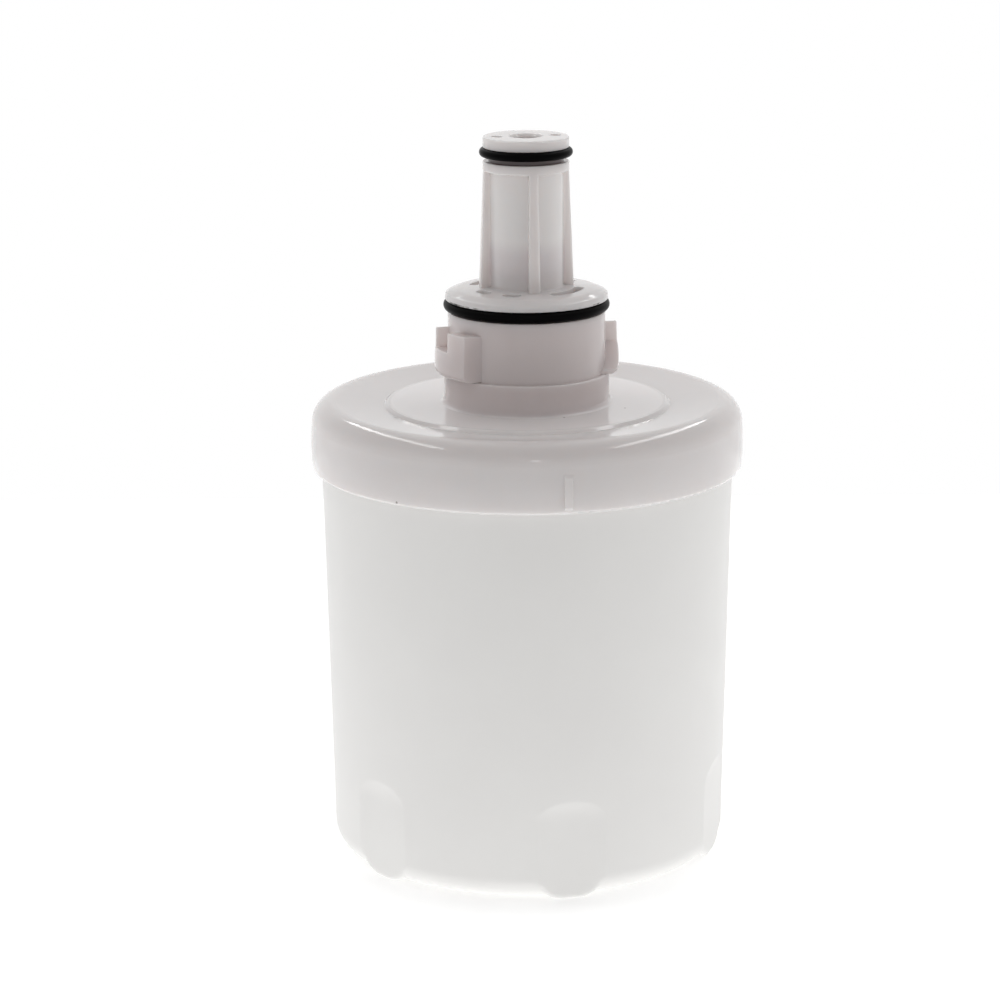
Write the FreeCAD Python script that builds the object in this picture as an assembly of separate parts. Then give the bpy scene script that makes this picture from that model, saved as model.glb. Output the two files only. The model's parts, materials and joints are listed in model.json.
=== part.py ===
"""Fridge water filter cartridge: a welded canister and head round a carbon block.

Millimetres, +Z up, origin at the centre of the foot. The alignment mark faces -Y, the lugs +X and -X.
"""
import math
import os

import FreeCAD
import Part

# Canister
mouth_r = 51.2            # outer radius where the wall enters the rim
foot_r = 49.2             # outer radius that the drafted wall would have at the floor
wall = 2.8
foot_round = 6.5
base_recess = 2.0
base_recess_r = 35.0
base_recess_round = 1.2
gate_r = 2.5
gate_height = 0.8

# Grip flats round the foot of the canister, each with a pad that it stands on
flat_count = 6
flat_depth = 0.75         # how far a flat lies inside the round wall
flat_top = 25.5           # height of the middle of a flat's arched top edge
flat_runout = 5.4         # height over which a flat sinks into the wall
flat_turn = 1.8           # how far the flats are turned past the mark, in degrees
pad_half_width = 8.4
pad_height = 14.0
pad_corner_round = 6.5
pad_edge_round = 1.2

# Head: rim and cap
rim_bottom_z = 98.0
rim_wall = 2.1            # thickness of the rim at its lower edge
rim_belly = 0.5           # how far the rim bulges past its lower edge
rim_belly_z = 103.5
rim_belly_round = 60.0
rim_draw = 0.7            # how far the rim draws in from its belly to its corner
rim_edge_round = 0.9
rim_corner_z = 115.4      # where the rim and the cap would meet without their rounding
shoulder_round = 6.4
disc_z = 114.1
disc_r = 34.6
ramp_width = 1.0
ramp_drop = 0.8
ramp_round = 0.3
cap_wall = 2.8
weld_step = 1.8           # how far the seat of the canister lies under the cap's underside
weld_clearance = 0.1
mark_width = 2.1
mark_proud = 0.35         # how far the alignment mark stands out from the rim
mark_height = 8.9
mark_end = 0.8            # height of the slope at each end of the mark
mark_edge_round = 0.25

# Head: neck, flange and lugs
low_neck_r = 20.5
neck_step_z = 121.8
neck_step_round = 0.4
neck_r = 19.5
neck_foot_round = 1.2
neck_bore_r = 16.6
flange_r = 20.15
flange_bottom = 139.9
flange_edge = 1.5         # height of the flange's edge before its rounding
flange_edge_round = 1.4
flange_top = 142.5
flange_slope_width = 2.75
flange_round = 5.0
flange_crown = 0.6        # rise of the flange from its slope to the stem
flange_plate = 3.2
flange_bore_r = 15.0

lug_count = 2
lug_r = 22.6
lug_flare = 0.3           # extra radius at the foot of a lug
lug_height = 11.5
lug_foot_round = 1.4
lug_stop_angle = 37.0     # outer edge of the end that meets the stop
lug_lead_angle = 23.0     # outer edge of the ramped end, which enters first
lug_end_slant = 8.0       # how far the end faces spread towards the neck
lug_wall = 1.0            # upright wall between the ramp and the pocket
lug_edge_round = 0.3
ramp_low = 1.0            # height of the ramp at its leading end
pocket_floor = 6.6
pocket_end_angle = 20.4

# Head: stem
stem_top = 180.0
stem_r = 10.6
stem_edge_round = 0.4
stem_foot_round = 0.5
core_r = 9.15
panel_round = 0.5
stem_land_height = 2.7    # plain length above the stem's groove
stem_band_height = 2.3    # plain length between the groove and the panels
rib_count = 4
rib_foot_r = 11.74
rib_width_top = 2.25
rib_width_foot = 2.75
rib_edge_round = 0.35
outlet_r = 3.55
outlet_length = 10.0
outlet_chamfer = 0.7
stem_bore_r = 6.2
dimple_r = 1.5
dimple_depth = 0.3
dimple_radius = 7.3

# Inlet slots in the flange
slot_in_r = 11.9
slot_out_r = 14.4
slot_half_angle = 29.0
slot_bridge_half_angle = 8.3

# O-rings in their grooves on the head
neck_cord = 2.7
neck_ring_outer_r = 20.55
neck_groove_width = 2.9
stem_cord = 2.2
stem_ring_outer_r = 11.49
stem_groove_width = 3.3
lip_round = 0.25          # rounding of the edges of the grooves
ring_seat = 0.05          # room between a ring and the floor of its groove

# Outlet tube inside the head
tube_r = 10.2
tube_drop = 9.0           # how far the tube reaches below the cap's underside
socket_r = 7.15
socket_depth = 18.0

# Filter element
water_gap = 3.2           # room for the water between the end caps and the wall of the canister
block_core_r = 12.0
wrap = 1.6
end_plate = 2.4
end_lip = 5.0
end_lip_wall = 1.5
end_fit = 0.1             # room between the wrap and the lip round it
plug_wall = 2.6
plug_length = 4.0
plug_clearance = 0.2
collar_r = 9.6
collar_height = 5.0
spigot_length = 12.0
spigot_clearance = 0.15
spigot_bore_r = 3.6
spigot_lead = 0.8
spigot_cord = 2.0
spigot_groove_width = 2.3
boss_r = 10.0
boss_height = 4.0
boss_clearance = 0.2
boss_seat_wall = 1.8
boss_seat_height = 3.0

# Heights and radii that follow from the values above
cap_under = disc_z - ramp_drop - cap_wall
weld_z = cap_under - weld_step
skirt_r = mouth_r + weld_clearance
rim_bottom_r = skirt_r + rim_wall
rim_belly_r = rim_bottom_r + rim_belly
rim_top_r = rim_belly_r - rim_draw
ramp_r = disc_r + ramp_width
dish_z = disc_z - ramp_drop
mouth_bore_r = mouth_r - wall
floor_z = base_recess + wall
tube_end = cap_under - tube_drop
block_bottom = floor_z + boss_height + end_plate
block_top = tube_end - collar_height - end_plate
end_r = min(foot_r, mouth_r) - wall - water_gap
lip_in_r = end_r - end_lip_wall
wrap_r = lip_in_r - end_fit
block_r = wrap_r - wrap
plug_r = block_core_r - plug_clearance
spigot_r = socket_r - spigot_clearance
spigot_ring_r = socket_r - ring_seat - spigot_cord / 2
spigot_ring_z = tube_end + spigot_length / 2
neck_groove_floor_r = neck_ring_outer_r - neck_cord - ring_seat
neck_groove_bottom = flange_bottom - neck_groove_width
stem_groove_floor_r = stem_ring_outer_r - stem_cord - ring_seat
stem_groove_top = stem_top - stem_land_height
stem_groove_bottom = stem_groove_top - stem_groove_width
stem_ring_z = stem_groove_top - ring_seat - stem_cord / 2
panel_top = stem_groove_bottom - stem_band_height
stem_foot_z = flange_top + flange_crown
lug_top = neck_step_z + lug_height
slot_turn = 180 / rib_count
draft_slope = (mouth_r - foot_r) / rim_bottom_z

overlap = 0.6             # how far joined forms of one moulding run into each other
clear = 30.0              # how far cutting tools reach past the material
whole_side = 0.96         # share of a side that the rounding of one corner may take
shared_side = 0.48        # share of a side between two rounded corners


def vec(x, y, z):
    return FreeCAD.Vector(x, y, z)


def turned(shape, angle):
    """A copy of the shape, turned about the axis of the cartridge."""
    copy = shape.copy()
    copy.rotate(vec(0, 0, 0), vec(0, 0, 1), angle)
    return copy


def polar(radius, angle, z=0.0):
    return vec(radius * math.cos(math.radians(angle)), radius * math.sin(math.radians(angle)), z)


def wall_radius(z):
    """Outer radius of the drafted canister wall."""
    return foot_r + draft_slope * z


def rounded_wire(corners):
    """Closed outline in the XZ plane. A corner is (r, z) or (r, z, rounding)."""
    points = [vec(corner[0], 0, corner[1]) for corner in corners]
    rounds = [corner[2] if len(corner) > 2 else 0.0 for corner in corners]
    count = len(points)
    stretches = []
    for i in range(count):
        before = points[i] - points[i - 1]
        after = points[(i + 1) % count] - points[i]
        room = min(
            before.Length * (shared_side if rounds[i - 1] else whole_side),
            after.Length * (shared_side if rounds[(i + 1) % count] else whole_side))
        before.normalize()
        after.normalize()
        half_turn = before.getAngle(after) / 2
        if rounds[i] == 0.0 or half_turn < 1e-4:
            stretches.append((points[i], None, points[i]))
            continue
        reach = min(rounds[i] * math.tan(half_turn), room)
        radius = reach / math.tan(half_turn)
        inward = (after - before).normalize()
        middle = points[i] + inward * (radius / math.cos(half_turn) - radius)
        stretches.append((points[i] - before * reach, middle, points[i] + after * reach))
    edges = []
    for i, (start, middle, end) in enumerate(stretches):
        if middle is not None:
            edges.append(Part.Arc(start, middle, end).toShape())
        following = stretches[(i + 1) % count][0]
        edges.append(Part.LineSegment(end, following).toShape())
    return Part.Wire(edges)


def revolved(corners, start=0.0, span=360.0):
    """Solid turned from an outline, over the whole circle or a span of it."""
    face = Part.Face(rounded_wire(corners))
    return turned(face.revolve(vec(0, 0, 0), vec(0, 0, 1), span), start)


def ring_sector(r_in, r_out, bottom, top, start, end):
    corners = [(r_in, bottom), (r_out, bottom), (r_out, top), (r_in, top)]
    return revolved(corners, start, end - start)


def prism(points, direction):
    return Part.Face(Part.makePolygon(points + points[:1])).extrude(direction)


def soften(shape, radius, chosen):
    """Rounds the edges of a shape that the given rule picks."""
    return shape.makeFillet(radius, [edge for edge in shape.Edges if chosen(edge)])


def o_ring(outer_r, cord, z):
    return Part.makeTorus(outer_r - cord / 2, cord / 2, vec(0, 0, z))


def cup_solid():
    """The canister without its grip flats and pads."""
    outside = [
        (0, base_recess),
        (base_recess_r, base_recess, base_recess_round),
        (base_recess_r + base_recess, 0, base_recess_round),
        (foot_r, 0, foot_round),
        (mouth_r, rim_bottom_z),
        (mouth_r, weld_z),
    ]
    inside = [
        (mouth_bore_r, weld_z),
        (mouth_bore_r, rim_bottom_z),
        (wall_radius(floor_z) - wall, floor_z, foot_round - wall),
        (boss_r + boss_clearance + boss_seat_wall, floor_z),
        (boss_r + boss_clearance + boss_seat_wall, floor_z + boss_seat_height),
        (boss_r + boss_clearance, floor_z + boss_seat_height),
        (boss_r + boss_clearance, floor_z),
        (0, floor_z),
    ]
    return revolved(outside + inside)


def flat_cutter():
    """What lies outside one grip flat on the +X side. The flat follows the draft and ends in a hollow arc."""
    along = vec(draft_slope, 0, 1).normalize()
    outward = vec(1, 0, -draft_slope).normalize()
    start = vec(wall_radius(flat_top - flat_runout) - flat_depth, 0, flat_top - flat_runout)
    arc_r = (flat_runout ** 2 + flat_depth ** 2) / (2 * flat_depth)

    def on_arc(share):
        reach = flat_runout * share
        return start + along * reach + outward * (arc_r - math.sqrt(arc_r ** 2 - reach ** 2))

    end = on_arc(1.0)
    past = end + (along + outward * (flat_runout / (arc_r - flat_depth))).normalize() * clear
    foot = vec(wall_radius(-overlap) - flat_depth, 0, -overlap)
    far = vec(past.x + clear, 0, -overlap)
    edges = [Part.LineSegment(foot, start).toShape(), Part.Arc(start, on_arc(0.5), end).toShape()]
    for a, b in ((end, past), (past, far), (far, foot)):
        edges.append(Part.LineSegment(a, b).toShape())
    face = Part.Face(Part.Wire(edges))
    face.translate(vec(0, -clear / 2, 0))
    return face.extrude(vec(0, clear, 0))


def pad(cutter):
    """The foot under one flat on the +X side: an upright tab with round lower corners, sunk in the wall."""
    corners = [
        (-pad_half_width, 0, pad_corner_round),
        (pad_half_width, 0, pad_corner_round),
        (pad_half_width, pad_height),
        (-pad_half_width, pad_height),
    ]
    face = Part.Face(rounded_wire(corners))
    face.rotate(vec(0, 0, 0), vec(0, 0, 1), 90)
    face.translate(vec(foot_r - foot_round, 0, 0))
    hollow = revolved([
        (0, floor_z),
        (wall_radius(floor_z) - wall / 2, floor_z, foot_round - wall / 2),
        (mouth_r - wall / 2, rim_bottom_z),
        (0, rim_bottom_z),
    ])

    def outer_and_low(edge):
        ends = [vertex.Point for vertex in edge.Vertexes]
        outer = min(end.x for end in ends) > foot_r - foot_round / 2
        return outer and min(end.z for end in ends) < pad_height / 2

    tab = soften(face.extrude(vec(foot_round, 0, 0)).cut(cutter), pad_edge_round, outer_and_low)
    return tab.cut(hollow)


def make_canister():
    turns = [flat_turn - 90 + i * 360 / flat_count for i in range(flat_count)]
    cutter = flat_cutter()
    single_pad = pad(cutter)
    gate = Part.makeCylinder(gate_r, gate_height + overlap, vec(0, 0, base_recess - gate_height))
    shape = cup_solid().multiFuse([turned(single_pad, turn) for turn in turns] + [gate])
    return shape.cut([turned(cutter, turn) for turn in turns]).removeSplitter()


def head_body():
    """Everything of the head that is round about the axis."""
    outside = [
        (skirt_r, rim_bottom_z),
        (rim_bottom_r, rim_bottom_z, rim_edge_round),
        (rim_belly_r, rim_belly_z, rim_belly_round),
        (rim_top_r, rim_corner_z, shoulder_round),
        (ramp_r, dish_z, ramp_round),
        (disc_r, disc_z, ramp_round),
        (low_neck_r, disc_z, neck_foot_round),
        (low_neck_r, neck_step_z, neck_step_round),
        (neck_r, neck_step_z),
        (neck_r, neck_groove_bottom, lip_round),
        (neck_groove_floor_r, neck_groove_bottom),
        (neck_groove_floor_r, flange_bottom),
        (flange_r, flange_bottom, lip_round),
        (flange_r, flange_bottom + flange_edge, flange_edge_round),
        (flange_r - flange_slope_width, flange_top, flange_round),
        (core_r, stem_foot_z, stem_foot_round),
        (core_r, panel_top, panel_round),
        (stem_r, panel_top, lip_round),
        (stem_r, stem_groove_bottom, lip_round),
        (stem_groove_floor_r, stem_groove_bottom),
        (stem_groove_floor_r, stem_groove_top),
        (stem_r, stem_groove_top, lip_round),
        (stem_r, stem_top, stem_edge_round),
    ]
    inside = [
        (outlet_r + outlet_chamfer, stem_top),
        (outlet_r, stem_top - outlet_chamfer),
        (outlet_r, stem_top - outlet_length),
        (stem_bore_r, stem_top - outlet_length - (stem_bore_r - outlet_r)),
        (stem_bore_r, tube_end + socket_depth),
        (socket_r, tube_end + socket_depth),
        (socket_r, tube_end),
        (tube_r, tube_end),
        (tube_r, flange_top - flange_plate),
        (flange_bore_r, flange_top - flange_plate),
        (flange_bore_r, neck_groove_bottom - flange_plate),
        (neck_bore_r, neck_groove_bottom - 2 * flange_plate),
        (neck_bore_r, cap_under),
        (mouth_bore_r, cap_under),
        (mouth_bore_r, weld_z),
        (skirt_r, weld_z),
    ]
    return revolved(outside + inside)


def stem_rib():
    """One rib of the stem on the +X side, wider and further out at its foot."""
    bottom = stem_foot_z - overlap
    height = panel_top + overlap - bottom
    slope = (rib_foot_r - stem_r) / (panel_top - stem_foot_z)
    cone = Part.makeCone(rib_foot_r + slope * overlap, stem_r - slope * overlap, height, vec(0, 0, bottom))

    def section(width, z):
        half = width / 2
        corners = [vec(0, -half, z), vec(clear, -half, z), vec(clear, half, z), vec(0, half, z)]
        return Part.makePolygon(corners + corners[:1])

    blade = Part.makeLoft([section(rib_width_foot, bottom), section(rib_width_top, bottom + height)], True)
    inside = Part.makeCylinder(core_r - overlap, height, vec(0, 0, bottom))
    rib = blade.common(cone).cut(inside)

    def outer_and_upright(edge):
        ends = [vertex.Point for vertex in edge.Vertexes]
        return len(ends) == 2 and abs(ends[0].z - ends[1].z) > overlap and min(end.x for end in ends) > core_r

    return soften(rib, rib_edge_round, outer_and_upright)


def lug():
    """One bayonet lug on the +X side: a ramp, an upright wall, an open pocket and a steep-ended block."""
    foot = lug_r + lug_flare
    blank = revolved([
        (neck_r - overlap, neck_step_z),
        (foot, neck_step_z, lug_foot_round),
        (lug_r, lug_top),
        (neck_r - overlap, lug_top),
    ], start=180.0)

    def slanted_end(angle, slant):
        root = polar(neck_r, angle + slant, neck_step_z)
        tip = polar(foot, angle, neck_step_z)
        return root, tip + (tip - root)

    stop_root, stop_tip = slanted_end(lug_stop_angle, lug_end_slant)
    lead_root, lead_tip = slanted_end(-lug_lead_angle, -lug_end_slant)
    centre = vec(0, 0, neck_step_z)
    outline = [centre, lead_root, lead_tip, polar(foot + clear, 0, neck_step_z), stop_tip, stop_root]
    shape = blank.common(prism(outline, vec(0, 0, lug_height)))

    floor = neck_step_z + pocket_floor
    pocket = ring_sector(neck_r - overlap / 2, foot + clear, floor, lug_top + clear, 0, pocket_end_angle)
    lead_y = -foot * math.sin(math.radians(lug_lead_angle))
    ramp = prism(
        [
            vec(0, -lug_wall, floor),
            vec(0, -lug_wall, lug_top + clear),
            vec(0, lead_y - clear, lug_top + clear),
            vec(0, lead_y - clear, neck_step_z + ramp_low),
            vec(0, lead_y, neck_step_z + ramp_low),
        ],
        vec(foot + clear, 0, 0))

    def upper(edge):
        heights = [vertex.Z for vertex in edge.Vertexes]
        middle = edge.valueAt((edge.FirstParameter + edge.LastParameter) / 2)
        high = min(heights) > floor - lug_edge_round or max(heights) > lug_top - lug_edge_round
        return high and math.hypot(middle.x, middle.y) > neck_r + lug_edge_round

    return soften(shape.cut(pocket).cut(ramp), lug_edge_round, upper)


def kidney(half_angle):
    """Cutter for one inlet slot about +X, with round ends."""
    middle_r = (slot_in_r + slot_out_r) / 2
    end_r = (slot_out_r - slot_in_r) / 2
    bottom = flange_top - flange_plate - overlap
    top = stem_foot_z + overlap
    bend = half_angle - math.degrees(end_r / middle_r)
    cutter = ring_sector(slot_in_r, slot_out_r, bottom, top, -bend, bend)
    ends = [Part.makeCylinder(end_r, top - bottom, polar(middle_r, side * bend, bottom)) for side in (-1, 1)]
    return cutter.multiFuse(ends)


def inlet_slots():
    """Slots between the ribs: two long ones, and two that a bridge splits in half."""
    long_slot = kidney(slot_half_angle)
    short_half = (slot_half_angle - slot_bridge_half_angle) / 2
    short_middle = (slot_half_angle + slot_bridge_half_angle) / 2
    short_slot = kidney(short_half)
    slots = []
    for turn in (0, 180):
        slots.append(turned(long_slot, turn - slot_turn))
        for side in (-1, 1):
            slots.append(turned(short_slot, turn + slot_turn + side * short_middle))
    return slots


def alignment_mark():
    """Raised upright mark on the -Y side of the rim, sloped at both ends and soft along its edges."""
    low = rim_bottom_z + rim_edge_round
    top = low + mark_height
    slope = (rim_belly_r - rim_top_r) / (rim_corner_z - rim_belly_z)
    top_r = rim_belly_r - slope * (top - rim_belly_z)
    outline = [
        (rim_bottom_r - overlap, low),
        (rim_bottom_r, low),
        (rim_belly_r + mark_proud, low + mark_end),
        (rim_belly_r + mark_proud, rim_belly_z),
        (top_r + mark_proud, top - mark_end),
        (top_r, top),
        (rim_bottom_r - overlap, top),
    ]
    points = [vec(-mark_width / 2, -r, z) for r, z in outline]

    def outer_and_upright(edge):
        ends = [vertex.Point for vertex in edge.Vertexes]
        return abs(ends[0].z - ends[1].z) > mark_end and max(end.y for end in ends) < -top_r - mark_edge_round

    return soften(prism(points, vec(mark_width, 0, 0)), mark_edge_round, outer_and_upright)


def make_head():
    ribs = [turned(stem_rib(), i * 360 / rib_count) for i in range(rib_count)]
    lugs = [turned(lug(), i * 360 / lug_count) for i in range(lug_count)]
    shape = head_body().multiFuse(ribs + lugs + [alignment_mark()])
    dimples = [
        Part.makeCylinder(dimple_r, clear, vec(side * dimple_radius, 0, stem_top - dimple_depth))
        for side in (-1, 1)
    ]
    return shape.cut(inlet_slots() + dimples).removeSplitter()


def make_top_end_cap():
    top = block_top + end_plate
    groove_floor = spigot_ring_r - spigot_cord / 2 - ring_seat
    groove_low = spigot_ring_z - spigot_groove_width / 2
    groove_high = spigot_ring_z + spigot_groove_width / 2
    return revolved([
        (spigot_bore_r, block_top - plug_length),
        (plug_r, block_top - plug_length, spigot_lead),
        (plug_r, block_top),
        (lip_in_r, block_top),
        (lip_in_r, block_top - end_lip),
        (end_r, block_top - end_lip),
        (end_r, top, spigot_lead),
        (collar_r, top),
        (collar_r, tube_end),
        (spigot_r, tube_end),
        (spigot_r, groove_low),
        (groove_floor, groove_low),
        (groove_floor, groove_high),
        (spigot_r, groove_high),
        (spigot_r, tube_end + spigot_length - spigot_lead),
        (spigot_r - spigot_lead, tube_end + spigot_length),
        (spigot_bore_r, tube_end + spigot_length),
    ])


def make_bottom_end_cap():
    under = block_bottom - end_plate
    return revolved([
        (0, floor_z),
        (boss_r, floor_z, spigot_lead),
        (boss_r, under),
        (end_r, under, spigot_lead),
        (end_r, block_bottom + end_lip),
        (lip_in_r, block_bottom + end_lip),
        (lip_in_r, block_bottom),
        (plug_r, block_bottom),
        (plug_r, block_bottom + plug_length, spigot_lead),
        (plug_r - plug_wall, block_bottom + plug_length),
        (plug_r - plug_wall, block_bottom),
        (0, block_bottom),
    ])


def make_carbon_block():
    return revolved([
        (block_core_r, block_bottom),
        (block_r, block_bottom),
        (block_r, block_top),
        (block_core_r, block_top),
    ])


def make_prefilter_wrap():
    return revolved([
        (block_r, block_bottom),
        (wrap_r, block_bottom),
        (wrap_r, block_top),
        (block_r, block_top),
    ])


pieces = {
    "canister": make_canister(),
    "head": make_head(),
    "neck_o_ring": o_ring(neck_ring_outer_r, neck_cord, flange_bottom - neck_groove_width / 2),
    "stem_o_ring": o_ring(stem_ring_outer_r, stem_cord, stem_ring_z),
    "carbon_block": make_carbon_block(),
    "prefilter_wrap": make_prefilter_wrap(),
    "top_end_cap": make_top_end_cap(),
    "bottom_end_cap": make_bottom_end_cap(),
    "spigot_o_ring": o_ring(spigot_ring_r + spigot_cord / 2, spigot_cord, spigot_ring_z),
}

os.makedirs("parts", exist_ok=True)
for name, shape in pieces.items():
    shape.exportStep(f"parts/{name}.step")
    print(name, "solids", len(shape.Solids), "valid", shape.isValid(), "volume", round(shape.Volume, 1))
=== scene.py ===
"""Looks of the fridge water filter cartridge: moulded white plastic, greased black seals, light tent."""
import json
import math

import bpy
from mathutils import Matrix, Vector

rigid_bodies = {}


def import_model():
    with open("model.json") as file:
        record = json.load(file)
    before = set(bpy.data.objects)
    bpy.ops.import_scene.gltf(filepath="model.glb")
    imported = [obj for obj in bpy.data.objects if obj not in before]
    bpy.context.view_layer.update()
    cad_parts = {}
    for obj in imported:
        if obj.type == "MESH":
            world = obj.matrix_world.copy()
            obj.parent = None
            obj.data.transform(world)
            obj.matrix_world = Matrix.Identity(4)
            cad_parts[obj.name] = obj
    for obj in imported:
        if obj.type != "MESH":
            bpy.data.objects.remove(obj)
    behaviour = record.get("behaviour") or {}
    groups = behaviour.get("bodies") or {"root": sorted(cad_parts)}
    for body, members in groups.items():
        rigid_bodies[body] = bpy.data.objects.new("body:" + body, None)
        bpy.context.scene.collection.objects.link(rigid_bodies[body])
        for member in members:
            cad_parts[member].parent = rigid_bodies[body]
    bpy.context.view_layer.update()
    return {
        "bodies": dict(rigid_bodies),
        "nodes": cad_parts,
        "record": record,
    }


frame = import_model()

MM = 0.001

# Camera, fitted to the ellipses of the cartridge: it stands to the left of the alignment mark
CAMERA_TURN = math.radians(-10.0)
CAMERA_PLACE = Vector((-6.827 * MM, -800.0 * MM, 292.07 * MM))
CAMERA_TILT = 0.24935
CAMERA_ROLL = -0.00588
CAMERA_LENS = 118.49

# Moulded plastics: two close tones that cloud the colour, the range of roughness, a fine grain, how round the
# edges look, and how much light bleeds into the plastic and how far
HEAD_LOOK = {
    "tones": ((0.74, 0.705, 0.70, 1.0), (0.72, 0.685, 0.68, 1.0)),
    "rough": (0.07, 0.12),
    "grain_scale": 1500.0,
    "grain_depth": 0.004 * MM,
    "edge": 0.2 * MM,
    "bleed": 0.8,
}
CANISTER_LOOK = {
    "tones": ((0.812, 0.808, 0.795, 1.0), (0.797, 0.792, 0.78, 1.0)),
    "rough": (0.36, 0.46),
    "grain_scale": 3200.0,
    "grain_depth": 0.02 * MM,
    "edge": 1.6 * MM,
    "bleed": 0.0,
}
END_CAP_LOOK = {
    "tones": ((0.84, 0.84, 0.83, 1.0), (0.82, 0.82, 0.81, 1.0)),
    "rough": (0.35, 0.45),
    "grain_scale": 2500.0,
    "grain_depth": 0.02 * MM,
    "edge": 0.2 * MM,
    "bleed": 0.0,
}
CLOUD_SCALE = 35.0
CLOUD_LIMITS = (0.35, 0.65)
PATCH_SCALE = 120.0
PATCH_LIMITS = (0.3, 0.7)
GRAIN_STRENGTH = 0.6
PLASTIC_IOR = 1.49
BLEED_LENGTH = 5.0 * MM
BLEED_TINT = (1.0, 0.9, 0.85)

# Painted light, painted shade, grease and specks of the head, by height and by distance from the axis
# Painted light: the stem's core wall made lighter between the ribs
CORE_PAINTED_LIGHT_COLOUR = (0.83, 0.797, 0.787, 1.0)
CORE_PAINTED_LIGHT_HEIGHTS = (143.6 * MM, 171.5 * MM)
CORE_LIGHT_AND_SHADE_REACH = (9.3 * MM, 10.0 * MM)
# Painted shade: the stem's core darker and pinker towards its foot
CORE_FOOT_SHADE_COLOUR = (0.735, 0.69, 0.695, 1.0)
CORE_FOOT_SHADE_HEIGHTS = (147.0 * MM, 151.0 * MM)
CORE_FOOT_SHADE_SOFTNESS = 5.0 * MM
# Painted shade: the neck made darker and warmer between the cap and the flange
NECK_SHADE_COLOUR = (0.70, 0.637, 0.632, 1.0)
NECK_SHADE_HEIGHTS = (114.3 * MM, 139.5 * MM)
NECK_SHADE_REACH = (23.2 * MM, 23.8 * MM)
# Painted shade under the stem seal in its groove, partly grease
GROOVE_SHADE_AND_GREASE_COLOUR = (0.2, 0.14, 0.14, 1.0)
GROOVE_SHADE_HEIGHTS = (173.6 * MM, 177.3 * MM)
GROOVE_SHADE_REACH = (10.2 * MM, 10.5 * MM)
# Painted light: a band of the cap's disc made lighter
DISC_PAINTED_LIGHT_COLOUR = (0.83, 0.79, 0.785, 1.0)
DISC_PAINTED_LIGHT_HEIGHTS = (113.95 * MM, 114.2 * MM)
DISC_PAINTED_LIGHT_REACH = (33.5 * MM, 34.2 * MM)
BAND_SOFTNESS = 0.4 * MM
# Painted shade in crevices, where little space is free around the surface
CREVICE_SHADE_COLOUR = (0.22, 0.18, 0.18, 1.0)
CREVICE_SHADE_REACH = 1.5 * MM
CREVICE_SHADE_LIMITS = (0.15, 0.45)
SMEAR_COLOUR = (0.02, 0.02, 0.02, 1.0)
SMEAR_HEIGHTS = (139.9 * MM, 140.3 * MM)
SMEAR_SOFTNESS = 0.15 * MM
SMEAR_PLACES = ((14.8 * MM, -13.8 * MM, 140.1 * MM), (-18.1 * MM, -9.0 * MM, 140.1 * MM))
SMEAR_REACH = (4.0 * MM, 7.0 * MM)
SMEAR_SCALE = 170.0
SMEAR_LIMITS = (0.46, 0.54)
SPECK_COLOUR = (0.25, 0.22, 0.22, 1.0)
SPECK_PLACES = (
    (5.2 * MM, -21.6 * MM, 114.1 * MM),
    (21.9 * MM, -14.2 * MM, 114.1 * MM),
    (-38.4 * MM, -37.2 * MM, 98.9 * MM),
)
SPECK_LIMITS = (0.15 * MM, 0.4 * MM)

# Black seals, with smears that vary colour and gloss
SEAL_TONES = ((0.0008, 0.0007, 0.0008, 1.0), (0.002, 0.0018, 0.0019, 1.0))
SEAL_ROUGH = (0.25, 0.4)
SEAL_SMEAR_SCALE = 180.0
SEAL_GRAIN_SCALE = 2500.0
SEAL_GRAIN_DEPTH = 0.01 * MM
SEAL_GRAIN_STRENGTH = 0.5
SEAL_SPECULAR = 0.025

# Filter element inside
CARBON_TONES = ((0.006, 0.006, 0.006, 1.0), (0.05, 0.05, 0.05, 1.0))
CARBON_SCALE = 1800.0
CARBON_DEPTH = 0.3 * MM
CARBON_ROUGH = 0.9
FLEECE_TONES = ((0.62, 0.61, 0.58, 1.0), (0.86, 0.85, 0.83, 1.0))
FLEECE_SCALE = 900.0
FLEECE_DEPTH = 0.4 * MM
FLEECE_ROUGH = 0.95
FLEECE_SHEEN = 0.3
FILTER_STRENGTH = 0.8

# Studio: a glowing table in a white tent that is open towards the camera, with two long lamps overhead.
# The glow lights the cartridge, and the white is what the camera and reflections see instead.
FLOOR_HALF = 3.0
FLOOR_FRONT = 0.37
FLOOR_BACK = 0.35
FLOOR_COLOUR = (0.9, 0.9, 0.9, 1.0)
GLOW_FRONT = 0.76
GLOW_BACK = 0.2
GLOW_LIMITS = (-0.05, 0.15)
FLOOR_WHITE = 0.52
# Painted contact shadow on the floor: the white seen where the floor is closed in, and how far it reaches
CONTACT_SHADOW_WHITE = 0.1
CONTACT_SHADOW_REACH = 20.0 * MM
SKY_FRONT_LOW = (0.2, 0.193, 0.19, 1.0)
SKY_FRONT_HIGH = (0.43, 0.425, 0.421, 1.0)
SKY_BACK = (0.89, 0.89, 0.89, 1.0)
SKY_BACK_LIMITS = (-0.65, 0.5)
SKY_RAISED_LIMITS = (0.1, 0.5)
SKY_TOP_LIMITS = (0.5, 0.9)
SKY_TOP = (0.385, 0.38, 0.377, 1.0)
STRIP_PLACE = (0.58, 0.82, 1.1)
STRIP_SIZE = (0.14, 2.0)
STRIP_POWER = 3.7
SPOT_PLACE = (0.08, -1.08, 0.64)
SPOT_SIZE = (0.08, 0.08)
SPOT_POWER = 0.35
LAMP_AIM = Vector((0.0, 0.0, 0.11))

# Samples of the shader nodes that look round a point, and the Mix node's sockets for colours
OPENNESS_SAMPLES = 8
EDGE_SAMPLES = 6
MIX_A, MIX_B, MIX_RESULT = 6, 7, 2


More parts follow.
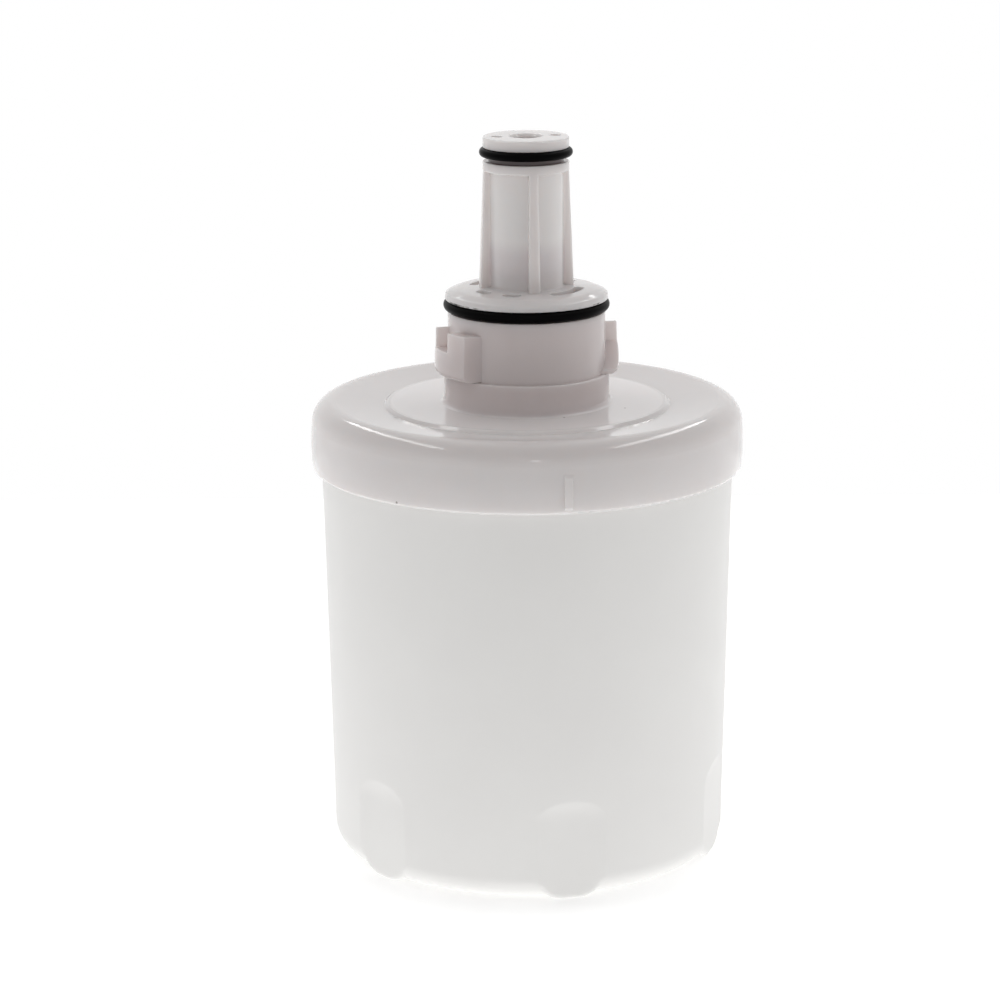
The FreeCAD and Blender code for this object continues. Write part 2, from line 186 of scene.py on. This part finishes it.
def clear_defaults():
    """Removes what Blender's own start file holds."""
    kept = set(frame["nodes"].values()) | set(frame["bodies"].values())
    for stray in [item for item in bpy.data.objects if item not in kept]:
        bpy.data.objects.remove(stray)


class Nodes:
    """Short calls for making and linking the nodes of one tree."""

    def __init__(self, tree):
        self.tree = tree
        tree.nodes.clear()

    def add(self, kind, **settings):
        node = self.tree.nodes.new(kind)
        for name, value in settings.items():
            setattr(node, name, value)
        return node

    def link(self, source, target):
        self.tree.links.new(source, target)

    def math(self, operation, a, b):
        node = self.add("ShaderNodeMath", operation=operation)
        for socket, value in zip(node.inputs, (a, b)):
            if isinstance(value, (int, float)):
                socket.default_value = value
            else:
                self.link(value, socket)
        return node.outputs[0]

    def map_range(self, value, low, high, to_low, to_high, smooth=False):
        node = self.add("ShaderNodeMapRange")
        node.interpolation_type = "SMOOTHSTEP" if smooth else "LINEAR"
        self.link(value, node.inputs["Value"])
        for name, number in (("From Min", low), ("From Max", high), ("To Min", to_low), ("To Max", to_high)):
            node.inputs[name].default_value = number
        return node.outputs["Result"]

    def noise(self, vector, scale, detail=3.0, roughness=0.5):
        node = self.add("ShaderNodeTexNoise")
        node.inputs["Scale"].default_value = scale
        node.inputs["Detail"].default_value = detail
        node.inputs["Roughness"].default_value = roughness
        self.link(vector, node.inputs["Vector"])
        return node.outputs["Fac"]

    def band(self, value, limits, softness):
        """One between the limits, falling to nothing over the softness on both sides."""
        low, high = limits
        rise = self.map_range(value, low - softness, low, 0.0, 1.0, smooth=True)
        fall = self.map_range(value, high, high + softness, 1.0, 0.0, smooth=True)
        return self.math("MULTIPLY", rise, fall)

    def axis_distance(self, vector):
        flat = self.add("ShaderNodeVectorMath", operation="MULTIPLY")
        self.link(vector, flat.inputs[0])
        flat.inputs[1].default_value = (1.0, 1.0, 0.0)
        length = self.add("ShaderNodeVectorMath", operation="LENGTH")
        self.link(flat.outputs[0], length.inputs[0])
        return length.outputs["Value"]

    def distance(self, vector, point):
        node = self.add("ShaderNodeVectorMath", operation="DISTANCE")
        self.link(vector, node.inputs[0])
        node.inputs[1].default_value = point
        return node.outputs["Value"]

    def camera_turned(self, vector):
        """Parts of a vector in the frame that is turned about Z as the camera stands."""
        turn = self.add("ShaderNodeMapping")
        turn.inputs["Rotation"].default_value[2] = -CAMERA_TURN
        self.link(vector, turn.inputs["Vector"])
        split = self.add("ShaderNodeSeparateXYZ")
        self.link(turn.outputs[0], split.inputs[0])
        return split.outputs

    def seen_rays(self):
        """One for rays that show a surface: from the camera, in reflections and through clear pieces."""
        path = self.add("ShaderNodeLightPath").outputs
        mirrored = self.math("MAXIMUM", path["Is Glossy Ray"], path["Is Transmission Ray"])
        return self.math("MAXIMUM", path["Is Camera Ray"], mirrored)

    def openness(self, reach):
        """How much of the space in front of the surface is free within the reach."""
        node = self.add("ShaderNodeAmbientOcclusion", samples=OPENNESS_SAMPLES)
        node.inputs["Distance"].default_value = reach
        return node.outputs["AO"]

    def mix_colour(self, factor, a, b):
        node = self.add("ShaderNodeMix", data_type="RGBA")
        self.link(factor, node.inputs["Factor"])
        for socket, value in ((node.inputs[MIX_A], a), (node.inputs[MIX_B], b)):
            if isinstance(value, tuple):
                socket.default_value = value
            else:
                self.link(value, socket)
        return node.outputs[MIX_RESULT]

    def bump(self, height, distance, strength, below=None):
        node = self.add("ShaderNodeBump")
        node.inputs["Distance"].default_value = distance
        node.inputs["Strength"].default_value = strength
        self.link(height, node.inputs["Height"])
        if below is not None:
            self.link(below, node.inputs["Normal"])
        return node.outputs["Normal"]

    def soft_edges(self, radius):
        node = self.add("ShaderNodeBevel", samples=EDGE_SAMPLES)
        node.inputs["Radius"].default_value = radius
        return node.outputs["Normal"]


def new_material(name):
    material = bpy.data.materials.new(name)
    material.use_nodes = True
    nodes = Nodes(material.node_tree)
    shader = nodes.add("ShaderNodeBsdfPrincipled")
    output = nodes.add("ShaderNodeOutputMaterial")
    nodes.link(shader.outputs[0], output.inputs["Surface"])
    place = nodes.add("ShaderNodeTexCoord").outputs["Object"]
    return material, nodes, shader, place


def moulded_plastic(name, look, shading_and_marks=None):
    """White moulded plastic: faint clouding of the colour, uneven gloss, a fine grain and soft edges."""
    material, nodes, shader, place = new_material(name)
    clouds = nodes.noise(place, CLOUD_SCALE, detail=4.0)
    colour = nodes.mix_colour(nodes.map_range(clouds, *CLOUD_LIMITS, 0.0, 1.0), *look["tones"])
    if shading_and_marks is not None:
        colour = shading_and_marks(nodes, place, colour)
    nodes.link(colour, shader.inputs["Base Color"])
    patches = nodes.noise(place, PATCH_SCALE, detail=5.0, roughness=0.6)
    nodes.link(nodes.map_range(patches, *PATCH_LIMITS, *look["rough"]), shader.inputs["Roughness"])
    fine = nodes.noise(place, look["grain_scale"], detail=2.0)
    grain = nodes.bump(fine, look["grain_depth"], GRAIN_STRENGTH, nodes.soft_edges(look["edge"]))
    nodes.link(grain, shader.inputs["Normal"])
    shader.inputs["IOR"].default_value = PLASTIC_IOR
    shader.inputs["Subsurface Weight"].default_value = look["bleed"]
    shader.inputs["Subsurface Radius"].default_value = BLEED_TINT
    shader.inputs["Subsurface Scale"].default_value = BLEED_LENGTH
    return material


def head_shading_and_marks(nodes, place, colour):
    """Painted light on the stem wall and disc; painted shade, darker and warmer, at the stem's foot and on
    the neck; painted shade and grease in the seal groove; painted shade in crevices; smears of seal grease
    and a few specks.
    """
    split = nodes.add("ShaderNodeSeparateXYZ")
    nodes.link(place, split.inputs[0])
    height = split.outputs["Z"]
    radius = nodes.axis_distance(place)
    # Painted light on the stem core and disc, painted shade at the stem's foot, on the neck and in the seal
    # groove
    tints_of_light_and_shade = (
        (CORE_PAINTED_LIGHT_COLOUR, CORE_PAINTED_LIGHT_HEIGHTS, BAND_SOFTNESS, CORE_LIGHT_AND_SHADE_REACH),
        (CORE_FOOT_SHADE_COLOUR, CORE_FOOT_SHADE_HEIGHTS, CORE_FOOT_SHADE_SOFTNESS, CORE_LIGHT_AND_SHADE_REACH),
        (NECK_SHADE_COLOUR, NECK_SHADE_HEIGHTS, BAND_SOFTNESS, NECK_SHADE_REACH),
        (DISC_PAINTED_LIGHT_COLOUR, DISC_PAINTED_LIGHT_HEIGHTS, BAND_SOFTNESS, DISC_PAINTED_LIGHT_REACH),
        (GROOVE_SHADE_AND_GREASE_COLOUR, GROOVE_SHADE_HEIGHTS, BAND_SOFTNESS, GROOVE_SHADE_REACH),
    )
    for tint, heights, softness, reach in tints_of_light_and_shade:
        near = nodes.map_range(radius, *reach, 1.0, 0.0, smooth=True)
        mask = nodes.math("MULTIPLY", nodes.band(height, heights, softness), near)
        colour = nodes.mix_colour(mask, colour, tint)
    # Painted shade: darker in crevices, where little space is free around the surface
    open_space = nodes.map_range(nodes.openness(CREVICE_SHADE_REACH), *CREVICE_SHADE_LIMITS, 0.0, 1.0, smooth=True)
    colour = nodes.mix_colour(open_space, CREVICE_SHADE_COLOUR, colour)
    smears = nodes.map_range(nodes.noise(place, SMEAR_SCALE, detail=4.0), *SMEAR_LIMITS, 0.0, 1.0)
    smears = nodes.math("MULTIPLY", smears, nodes.band(height, SMEAR_HEIGHTS, SMEAR_SOFTNESS))
    for spot in SMEAR_PLACES:
        near = nodes.map_range(nodes.distance(place, spot), *SMEAR_REACH, 1.0, 0.0, smooth=True)
        colour = nodes.mix_colour(nodes.math("MULTIPLY", smears, near), colour, SMEAR_COLOUR)
    for spot in SPECK_PLACES:
        dot = nodes.map_range(nodes.distance(place, spot), *SPECK_LIMITS, 1.0, 0.0, smooth=True)
        colour = nodes.mix_colour(dot, colour, SPECK_COLOUR)
    return colour


def seal_rubber():
    """Black rubber with smears of grease and a very fine grain."""
    material, nodes, shader, place = new_material("seal_rubber")
    smears = nodes.noise(place, SEAL_SMEAR_SCALE, detail=4.0, roughness=0.6)
    nodes.link(nodes.mix_colour(smears, *SEAL_TONES), shader.inputs["Base Color"])
    nodes.link(nodes.map_range(smears, *PATCH_LIMITS, *SEAL_ROUGH), shader.inputs["Roughness"])
    grain = nodes.noise(place, SEAL_GRAIN_SCALE, detail=2.0)
    nodes.link(nodes.bump(grain, SEAL_GRAIN_DEPTH, SEAL_GRAIN_STRENGTH), shader.inputs["Normal"])
    shader.inputs["Specular IOR Level"].default_value = SEAL_SPECULAR
    return material


def pressed_carbon():
    """Porous black block of pressed grains."""
    material, nodes, shader, place = new_material("pressed_carbon")
    grains = nodes.noise(place, CARBON_SCALE, detail=4.0, roughness=0.7)
    nodes.link(nodes.mix_colour(grains, *CARBON_TONES), shader.inputs["Base Color"])
    nodes.link(nodes.bump(grains, CARBON_DEPTH, FILTER_STRENGTH), shader.inputs["Normal"])
    shader.inputs["Roughness"].default_value = CARBON_ROUGH
    return material


def fleece():
    """White felted sleeve."""
    material, nodes, shader, place = new_material("fleece")
    fibres = nodes.noise(place, FLEECE_SCALE, detail=6.0, roughness=0.75)
    nodes.link(nodes.mix_colour(fibres, *FLEECE_TONES), shader.inputs["Base Color"])
    nodes.link(nodes.bump(fibres, FLEECE_DEPTH, FILTER_STRENGTH), shader.inputs["Normal"])
    shader.inputs["Roughness"].default_value = FLEECE_ROUGH
    shader.inputs["Sheen Weight"].default_value = FLEECE_SHEEN
    return material


def dress():
    """Gives each node of the frame its finish."""
    finishes = {
        "head_plastic": moulded_plastic("head_plastic", HEAD_LOOK, head_shading_and_marks),
        "canister_plastic": moulded_plastic("canister_plastic", CANISTER_LOOK),
        "end_cap_plastic": moulded_plastic("end_cap_plastic", END_CAP_LOOK),
        "seal_rubber": seal_rubber(),
        "pressed_carbon": pressed_carbon(),
        "fleece": fleece(),
    }
    for row in frame["record"]["subparts"]:
        node = frame["nodes"][row["node"]]
        node.data.materials.clear()
        node.data.materials.append(finishes[row["material_slot"]])


def floor_material():
    """Pale glowing table: white to the camera and in reflections, darker where the cartridge shades it, with
    a painted contact shadow in that white close to the cartridge.
    """
    material = bpy.data.materials.new("floor")
    material.use_nodes = True
    nodes = Nodes(material.node_tree)
    matte = nodes.add("ShaderNodeBsdfDiffuse")
    matte.inputs["Color"].default_value = FLOOR_COLOUR
    seen = nodes.seen_rays()
    # Painted contact shadow: the white that is seen falls where the cartridge closes in the floor
    white = nodes.map_range(nodes.openness(CONTACT_SHADOW_REACH), 0.0, 1.0, CONTACT_SHADOW_WHITE, FLOOR_WHITE)
    place = nodes.camera_turned(nodes.add("ShaderNodeTexCoord").outputs["Object"])
    lit = nodes.map_range(place["Y"], *GLOW_LIMITS, GLOW_FRONT, GLOW_BACK, smooth=True)
    hidden = nodes.math("MULTIPLY", nodes.math("SUBTRACT", 1.0, seen), lit)
    glow = nodes.add("ShaderNodeEmission")
    nodes.link(nodes.math("ADD", hidden, nodes.math("MULTIPLY", seen, white)), glow.inputs["Strength"])
    both = nodes.add("ShaderNodeAddShader")
    nodes.link(matte.outputs[0], both.inputs[0])
    nodes.link(glow.outputs[0], both.inputs[1])
    output = nodes.add("ShaderNodeOutputMaterial")
    nodes.link(both.outputs[0], output.inputs["Surface"])
    return material


def make_floor():
    """Table that ends in front of and behind the cartridge, square to the camera."""
    corners = (
        (-FLOOR_HALF, -FLOOR_FRONT),
        (FLOOR_HALF, -FLOOR_FRONT),
        (FLOOR_HALF, FLOOR_BACK),
        (-FLOOR_HALF, FLOOR_BACK),
    )
    turn = Matrix.Rotation(CAMERA_TURN, 4, "Z")
    mesh = bpy.data.meshes.new("floor")
    mesh.from_pydata([turn @ Vector((x, y, 0.0)) for x, y in corners], [], [(0, 1, 2, 3)])
    mesh.materials.append(floor_material())
    floor = bpy.data.objects.new("floor", mesh)
    bpy.context.scene.collection.objects.link(floor)


def make_sky():
    """Light tent: bright behind, dimmer above and in front, plain white to the camera and in reflections."""
    world = bpy.data.worlds.new("tent")
    bpy.context.scene.world = world
    world.use_nodes = True
    nodes = Nodes(world.node_tree)
    output = nodes.add("ShaderNodeOutputWorld")
    ray = nodes.camera_turned(nodes.add("ShaderNodeTexCoord").outputs["Generated"])
    behind = nodes.map_range(ray["Y"], *SKY_BACK_LIMITS, 0.0, 1.0, smooth=True)
    raised = nodes.map_range(ray["Z"], *SKY_RAISED_LIMITS, 0.0, 1.0, smooth=True)
    above = nodes.map_range(ray["Z"], *SKY_TOP_LIMITS, 0.0, 1.0, smooth=True)
    front = nodes.mix_colour(raised, SKY_FRONT_LOW, SKY_FRONT_HIGH)
    colour = nodes.mix_colour(above, nodes.mix_colour(behind, front, SKY_BACK), SKY_TOP)
    tent = nodes.add("ShaderNodeBackground")
    nodes.link(colour, tent.inputs["Color"])
    white = nodes.add("ShaderNodeBackground")
    white.inputs["Color"].default_value = (1.0, 1.0, 1.0, 1.0)
    choose = nodes.add("ShaderNodeMixShader")
    nodes.link(nodes.seen_rays(), choose.inputs[0])
    nodes.link(tent.outputs[0], choose.inputs[1])
    nodes.link(white.outputs[0], choose.inputs[2])
    nodes.link(choose.outputs[0], output.inputs["Surface"])


def make_lamp(name, place, size, power, target):
    """Rectangular lamp in the camera's turned frame, aimed at a point."""
    data = bpy.data.lights.new(name, "AREA")
    data.shape = "RECTANGLE"
    data.size, data.size_y = size
    data.energy = power
    lamp = bpy.data.objects.new(name, data)
    bpy.context.scene.collection.objects.link(lamp)
    aim = (Vector(place) - target).to_track_quat("Z", "Y").to_matrix().to_4x4()
    lamp.matrix_world = Matrix.Rotation(CAMERA_TURN, 4, "Z") @ Matrix.Translation(place) @ aim
    lamp.visible_camera = False


def make_lamps():
    """Two long strips overhead, and a small lamp above the camera for the glint on the rim."""
    x, y, z = STRIP_PLACE
    for side, name in ((-1, "strip_left"), (1, "strip_right")):
        make_lamp(name, (side * x, y, z), STRIP_SIZE, STRIP_POWER, Vector((side * x, y, 0.0)))
    make_lamp("spot", SPOT_PLACE, SPOT_SIZE, SPOT_POWER, LAMP_AIM)


def make_camera():
    """Camera at the photograph's viewing angle."""
    data = bpy.data.cameras.new("camera")
    data.lens = CAMERA_LENS
    camera = bpy.data.objects.new("camera", data)
    bpy.context.scene.collection.objects.link(camera)
    forward = Vector((0.0, math.cos(CAMERA_TILT), -math.sin(CAMERA_TILT)))
    level = Vector((1.0, 0.0, 0.0))
    upward = Vector((0.0, math.sin(CAMERA_TILT), math.cos(CAMERA_TILT)))
    right = level * math.cos(CAMERA_ROLL) + upward * math.sin(CAMERA_ROLL)
    top = upward * math.cos(CAMERA_ROLL) - level * math.sin(CAMERA_ROLL)
    axes = Matrix((right, top, -forward)).transposed().to_4x4()
    camera.matrix_world = Matrix.Rotation(CAMERA_TURN, 4, "Z") @ Matrix.Translation(CAMERA_PLACE) @ axes
    bpy.context.scene.camera = camera


clear_defaults()
dress()
make_floor()
make_sky()
make_lamps()
make_camera()
bpy.context.scene.view_settings.view_transform = "Standard"
